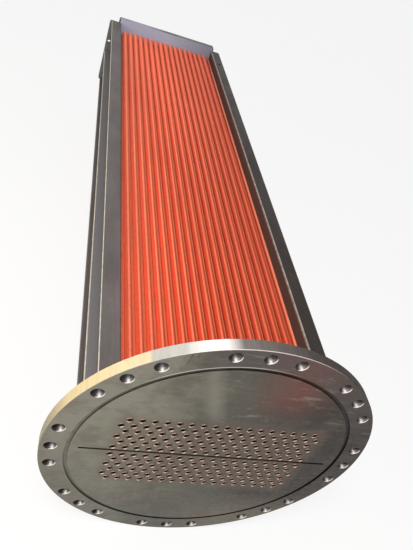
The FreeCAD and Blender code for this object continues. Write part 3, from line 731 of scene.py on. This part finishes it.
def grid_faces(rings, around, closed):
    """Four-sided faces between the points of neighbouring rings."""
    ring = np.arange(rings - 1)[:, None] * around
    here = np.arange(around if closed else around - 1)[None, :]
    after = (here + 1) % around
    quads = np.stack([ring + here, ring + after, ring + around + after, ring + around + here], axis=-1)
    return quads.reshape(-1, 4)


def built(name, parts, materials):
    """A mesh piece from parts: points, faces, material number, and the points to a sharp ring or 0."""
    points, faces, numbers, rings = [], [], [], []
    offset = 0
    for part_points, part_faces, number, per_ring in parts:
        flat = part_points.reshape(-1, 3)
        points.append(flat)
        faces.append(part_faces + offset)
        numbers.append(np.full(len(part_faces), number))
        rings.append(np.arange(len(flat)) // per_ring + offset if per_ring else np.full(len(flat), -1))
        offset += len(flat)
    points = np.concatenate(points).astype(np.float32)
    faces = np.concatenate(faces).astype(np.int32)
    numbers = np.concatenate(numbers).astype(np.int32)
    rings = np.concatenate(rings)

    mesh = bpy.data.meshes.new(name)
    mesh.vertices.add(len(points))
    mesh.vertices.foreach_set("co", points.ravel())
    mesh.loops.add(faces.size)
    mesh.loops.foreach_set("vertex_index", faces.ravel())
    mesh.polygons.add(len(faces))
    mesh.polygons.foreach_set("loop_start", np.arange(0, faces.size, 4, dtype=np.int32))
    mesh.update(calc_edges=True)
    for material in materials:
        mesh.materials.append(material)
    mesh.polygons.foreach_set("material_index", numbers)
    mesh.polygons.foreach_set("use_smooth", np.ones(len(faces), bool))
    ends = np.empty(len(mesh.edges) * 2, np.int32)
    mesh.edges.foreach_get("vertices", ends)
    first, second = rings[ends.reshape(-1, 2)].T
    edge_mark = mesh.attributes.new("sharp_edge", "BOOLEAN", "EDGE")
    edge_mark.data.foreach_set("value", (first == second) & (first >= 0))
    mesh.validate()
    mesh.update()
    piece = bpy.data.objects.new(name, mesh)
    bpy.context.scene.collection.objects.link(piece)
    return piece


def bare_tube(axis, around=24):
    """A tube with its bore and a rounded front end, from the front tube sheet to the rear one."""
    sizes = bpy.context.scene.bundle_tubes
    outside, bore = sizes.tube_diameter / 2, sizes.tube_diameter / 2 - sizes.tube_wall
    front, back = CAD_BOX[0].y, REAR_HIGH.y
    lip = 0.45 * MILLIMETRE
    corner = 0.3 * lip
    along, radii = zip(
        (back, bore),
        (front + lip, bore),
        (front + corner, bore + corner),
        (front, bore + lip),
        (front, outside - lip),
        (front + corner, outside - corner),
        (front + lip, outside),
        (back, outside),
        (back, bore),
    )
    angles = np.arange(around) * 2 * math.pi / around
    return lathe(along, radii, angles, axis), grid_faces(len(along), around, True), 1, around


def fin_stack(axis, facing, segments, sharp_tip):
    """One tube's fins on the side that shows, closed by a plain shell on the hidden side."""
    sizes = bpy.context.scene.bundle_tubes
    bare, tip = sizes.tube_diameter / 2, sizes.fin_diameter / 2
    start = SHEET_BACK + sizes.end_gap
    reach = REAR_LOW.y - sizes.end_gap - start - sizes.fin_tip
    count = round(reach / sizes.fin_pitch)
    pitch = reach / count
    rims = [sizes.fin_tip / 2] if sharp_tip else [0.0, sizes.fin_tip]
    along, depth = [], []
    for i in range(count + 1):
        place = start + pitch * i
        along += [place + rim for rim in rims]
        depth += [0.0 for rim in rims]
        if i < count:
            along.append(place + (pitch + sizes.fin_tip) / 2)
            depth.append(tip - (bare + sizes.collar))

    # The fins show over this angle to each side of the direction that they face.
    shown = math.radians(105)
    angles = np.linspace(-shown, shown, segments + 1) + facing
    deep = np.ones(segments + 1)
    deep[0] = deep[-1] = 0.0
    radii = tip - np.array(depth)[:, None] * deep
    stack = (lathe(along, radii, angles, axis), grid_faces(len(along), len(angles), False), 0, len(angles))
    hidden = np.linspace(shown, 2 * math.pi - shown, 6) + facing
    front, back = along[0], along[-1]
    shell = (lathe([front, back], [tip, tip], hidden, axis), grid_faces(2, len(hidden), False), 0, 0)
    whole = np.concatenate([angles, hidden[1:-1]])
    caps = []
    for place, inner, outer in ((front, bare, tip), (back, tip, bare)):
        cap = lathe([place, place], [inner, outer], whole, axis)
        caps.append((cap, grid_faces(2, len(whole), True), 0, len(whole)))
    return [stack, shell, *caps]


def outer_row(node, label, groups, facing, segments, sharp_tip):
    """The real fins and tube ends of the top or the bottom row, in a few pieces."""
    skins = [finish_named("copper_fins", copper_fins), finish_named("copper_tube", copper_tube)]
    places, height = tube_places(node), row_height(node)
    first = 0
    for number, count in enumerate(groups, start=1):
        parts = []
        for across in places[first:first + count]:
            axis = (across, height)
            parts += [bare_tube(axis), *fin_stack(axis, facing, segments, sharp_tip)]
        first += count
        piece = built(f"{label}_{number}", parts, skins)
        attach(piece, BODY)
        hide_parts(node)


# Studio

WHITE = (1.0, 1.0, 1.0, 1.0)


def area_lamp(name, place, target, size, power, tint):
    lamp = bpy.data.lights.new(name, "AREA")
    lamp.shape = "RECTANGLE"
    lamp.size, lamp.size_y = size
    lamp.energy = power
    lamp.color = tint
    item = bpy.data.objects.new(name, lamp)
    item.location = place
    item.rotation_euler = (Vector(target) - Vector(place)).to_track_quat("-Z", "Y").to_euler()
    bpy.context.scene.collection.objects.link(item)


def combined(tree, operation, first, second):
    """A maths node's output, fed by a socket and by a socket or a number."""
    node = tree.nodes.new("ShaderNodeMath")
    node.operation = operation
    tree.links.new(first, node.inputs[0])
    if isinstance(second, bpy.types.NodeSocket):
        tree.links.new(second, node.inputs[1])
    else:
        node.inputs[1].default_value = second
    return node.outputs[0]


def shown_white(tree, white, other, share):
    """White to the eye and in reflections, mixed over what the light itself meets."""
    path = tree.nodes.new("ShaderNodeLightPath")
    rays = combined(tree, "MAXIMUM", path.outputs["Is Camera Ray"], path.outputs["Is Glossy Ray"])
    rays = combined(tree, "MAXIMUM", rays, path.outputs["Is Transmission Ray"])
    white.inputs["Color"].default_value = WHITE
    white.inputs["Strength"].default_value = 1.0
    mix = tree.nodes.new("ShaderNodeMixShader")
    tree.links.new(combined(tree, "MULTIPLY", rays, share), mix.inputs[0])
    tree.links.new(other.outputs[0], mix.inputs[1])
    tree.links.new(white.outputs[0], mix.inputs[2])
    return mix.outputs[0]


def make_floor():
    reach = 30.0
    low = CAD_BOX[0].z - 0.5 * MILLIMETRE
    corners = [(-reach, -reach, low), (reach, -reach, low), (reach, reach, low), (-reach, reach, low)]
    mesh = bpy.data.meshes.new("studio_floor")
    mesh.from_pydata(corners, [], [(0, 1, 2, 3)])
    floor = bpy.data.objects.new("studio_floor", mesh)
    bpy.context.scene.collection.objects.link(floor)
    material = bpy.data.materials.new("studio_floor")
    material.use_nodes = True
    tree = material.node_tree
    matt = tree.nodes["Principled BSDF"]
    matt.inputs["Base Color"].default_value = (0.86, 0.86, 0.86, 1.0)
    matt.inputs["Roughness"].default_value = 0.9
    seen = shown_white(tree, tree.nodes.new("ShaderNodeEmission"), matt, 0.84)
    tree.links.new(seen, tree.nodes["Material Output"].inputs["Surface"])
    mesh.materials.append(material)


def make_sky(strength):
    world = bpy.data.worlds.new("studio_sky")
    world.use_nodes = True
    tree = world.node_tree
    plain = tree.nodes["Background"]
    plain.inputs["Color"].default_value = WHITE
    plain.inputs["Strength"].default_value = strength
    seen = shown_white(tree, tree.nodes.new("ShaderNodeBackground"), plain, 1.0)
    tree.links.new(seen, tree.nodes["World Output"].inputs["Surface"])
    bpy.context.scene.world = world


def make_camera():
    """The photograph's viewpoint."""
    place = (-0.50111, -0.68948, 1.17845)
    forward = Vector((0.30228, 0.72951, -0.61355)).normalized()
    right = forward.cross(Vector((-0.16662, 0.67419, 0.71952))).normalized()
    turn = Matrix((right, right.cross(forward), -forward)).transposed().to_4x4()
    lens = bpy.data.cameras.new("camera")
    lens.lens = 35.07
    lens.sensor_width = 36.0
    lens.clip_end = 100.0
    camera = bpy.data.objects.new("camera", lens)
    camera.matrix_world = Matrix.Translation(place) @ turn
    bpy.context.scene.collection.objects.link(camera)
    bpy.context.scene.camera = camera


# Operators


class BUNDLE_OT_top_row(bpy.types.Operator):
    """Builds the fins and tube ends of the top row"""

    bl_idname = "bundle.top_row"
    bl_label = "Top row of finned tubes"

    def execute(self, context):
        outer_row("tube_row_01", "top_fins", (5, 4, 4, 4), facing=0.0, segments=7, sharp_tip=False)
        return {"FINISHED"}


class BUNDLE_OT_bottom_row(bpy.types.Operator):
    """Builds the fins and tube ends of the bottom row"""

    bl_idname = "bundle.bottom_row"
    bl_label = "Bottom row of finned tubes"

    def execute(self, context):
        outer_row("tube_row_12", "bottom_fins", (9, 8), facing=math.pi, segments=6, sharp_tip=True)
        return {"FINISHED"}


class BUNDLE_OT_inner_rows(bpy.types.Operator):
    """Gives the rows inside the bundle, and the strips beside them, their copper"""

    bl_idname = "bundle.inner_rows"
    bl_label = "Inner rows"

    def execute(self, context):
        dress(INNER_ROWS, finish_named("copper_tube", copper_tube))
        dress(["seal_strips"], copper_strip(context.scene.bundle_finishes))
        return {"FINISHED"}


class BUNDLE_OT_tube_sheets(bpy.types.Operator):
    """Finishes the front and the rear tube sheet"""

    bl_idname = "bundle.tube_sheets"
    bl_label = "Tube sheets"

    def execute(self, context):
        colours = context.scene.bundle_finishes
        dress(["tube_sheet"], turned_steel(colours))
        dress(["rear_tube_sheet"], primed_steel(colours))
        return {"FINISHED"}


class BUNDLE_OT_side_frame(bpy.types.Operator):
    """Finishes the channels, rails and cleats"""

    bl_idname = "bundle.side_frame"
    bl_label = "Side frame"

    def execute(self, context):
        colours = context.scene.bundle_finishes
        # The grey channel: cream painted highlights on its edges, painted light on its rail, none on its
        # web's inner face.
        grey = mill_scale(
            "mill_scale",
            tuple(colours.scale),
            edge=colour(214, 208, 190),
            shelf_shading=colour(132, 132, 136),
            inner_painted_light=0.0,
        )
        dress(["side_channel_left", *RAILS, "front_cleats", "rear_cleats"], grey)
        # The brown channel: painted highlights on its edges, its rail in a dark tint and painted light on its
        # web's inner face.
        brown = mill_scale(
            "brown_scale",
            shade(tuple(colours.brown_scale), 0.42),
            edge=colour(176, 165, 155),
            shelf_shading=colour(40, 34, 34),
            inner_painted_light=1.0,
        )
        dress(["side_channel_right"], brown)
        return {"FINISHED"}


class BUNDLE_OT_header(bpy.types.Operator):
    """Finishes the return header, its gasket and plugs, and every screw"""

    bl_idname = "bundle.header"
    bl_label = "Return header and fasteners"

    def execute(self, context):
        colours = context.scene.bundle_finishes
        dress(["return_header"], header_enamel(colours))
        dress(["header_gasket"], fibre_gasket(colours))
        dress(["header_bolts", "cleat_screws"], plated("zinc_plate", tuple(colours.zinc)))
        dress(["vent_plug", "drain_plug"], plated("cast_brass", tuple(colours.brass)))
        return {"FINISHED"}


class BUNDLE_OT_studio(bpy.types.Operator):
    """Sets up the floor, the lamps, the sky and the camera"""

    bl_idname = "bundle.studio"
    bl_label = "Studio"

    def execute(self, context):
        studio = context.scene.bundle_studio
        make_floor()
        make_sky(studio.sky)
        area_lamp(
            "key_lamp",
            place=(-0.9, -0.9, 2.7),
            target=(0.0, 0.9, 0.1),
            size=(0.9, 0.9),
            power=studio.key_power,
            tint=(1.0, 0.985, 0.96),
        )
        area_lamp(
            "side_lamp",
            place=(-2.6, 0.2, 0.9),
            target=(0.0, 0.9, 0.0),
            size=(2.4, 1.2),
            power=studio.side_power,
            tint=(1.0, 0.86, 0.62),
        )
        make_camera()
        context.scene.view_settings.view_transform = "Standard"
        return {"FINISHED"}


class BUNDLE_PT_panel(bpy.types.Panel):
    """Sizes, colours and steps of the tube bundle"""

    bl_idname = "BUNDLE_PT_panel"
    bl_label = "Tube bundle"
    bl_space_type = "VIEW_3D"
    bl_region_type = "UI"
    bl_category = "Tube bundle"

    def draw(self, context):
        for group in (getattr(context.scene, name) for name in GROUPS):
            box = self.layout.box()
            for name in group.__annotations__:
                box.prop(group, name)
        for step in STEPS:
            self.layout.operator(step.bl_idname)


STEPS = (
    BUNDLE_OT_top_row,
    BUNDLE_OT_bottom_row,
    BUNDLE_OT_inner_rows,
    BUNDLE_OT_tube_sheets,
    BUNDLE_OT_side_frame,
    BUNDLE_OT_header,
    BUNDLE_OT_studio,
)
GROUPS = {"bundle_tubes": TubeSizes, "bundle_finishes": FinishColours, "bundle_studio": StudioSettings}


def register():
    for name, group in GROUPS.items():
        bpy.utils.register_class(group)
        setattr(bpy.types.Scene, name, bpy.props.PointerProperty(type=group))
    for step in STEPS:
        bpy.utils.register_class(step)
    bpy.utils.register_class(BUNDLE_PT_panel)


def unregister():
    bpy.utils.unregister_class(BUNDLE_PT_panel)
    for step in reversed(STEPS):
        bpy.utils.unregister_class(step)
    for name, group in reversed(GROUPS.items()):
        delattr(bpy.types.Scene, name)
        bpy.utils.unregister_class(group)


def main():
    register()
    bpy.ops.bundle.top_row()
    bpy.ops.bundle.bottom_row()
    bpy.ops.bundle.inner_rows()
    bpy.ops.bundle.tube_sheets()
    bpy.ops.bundle.side_frame()
    bpy.ops.bundle.header()
    bpy.ops.bundle.studio()


if __name__ == "__main__":
    main()
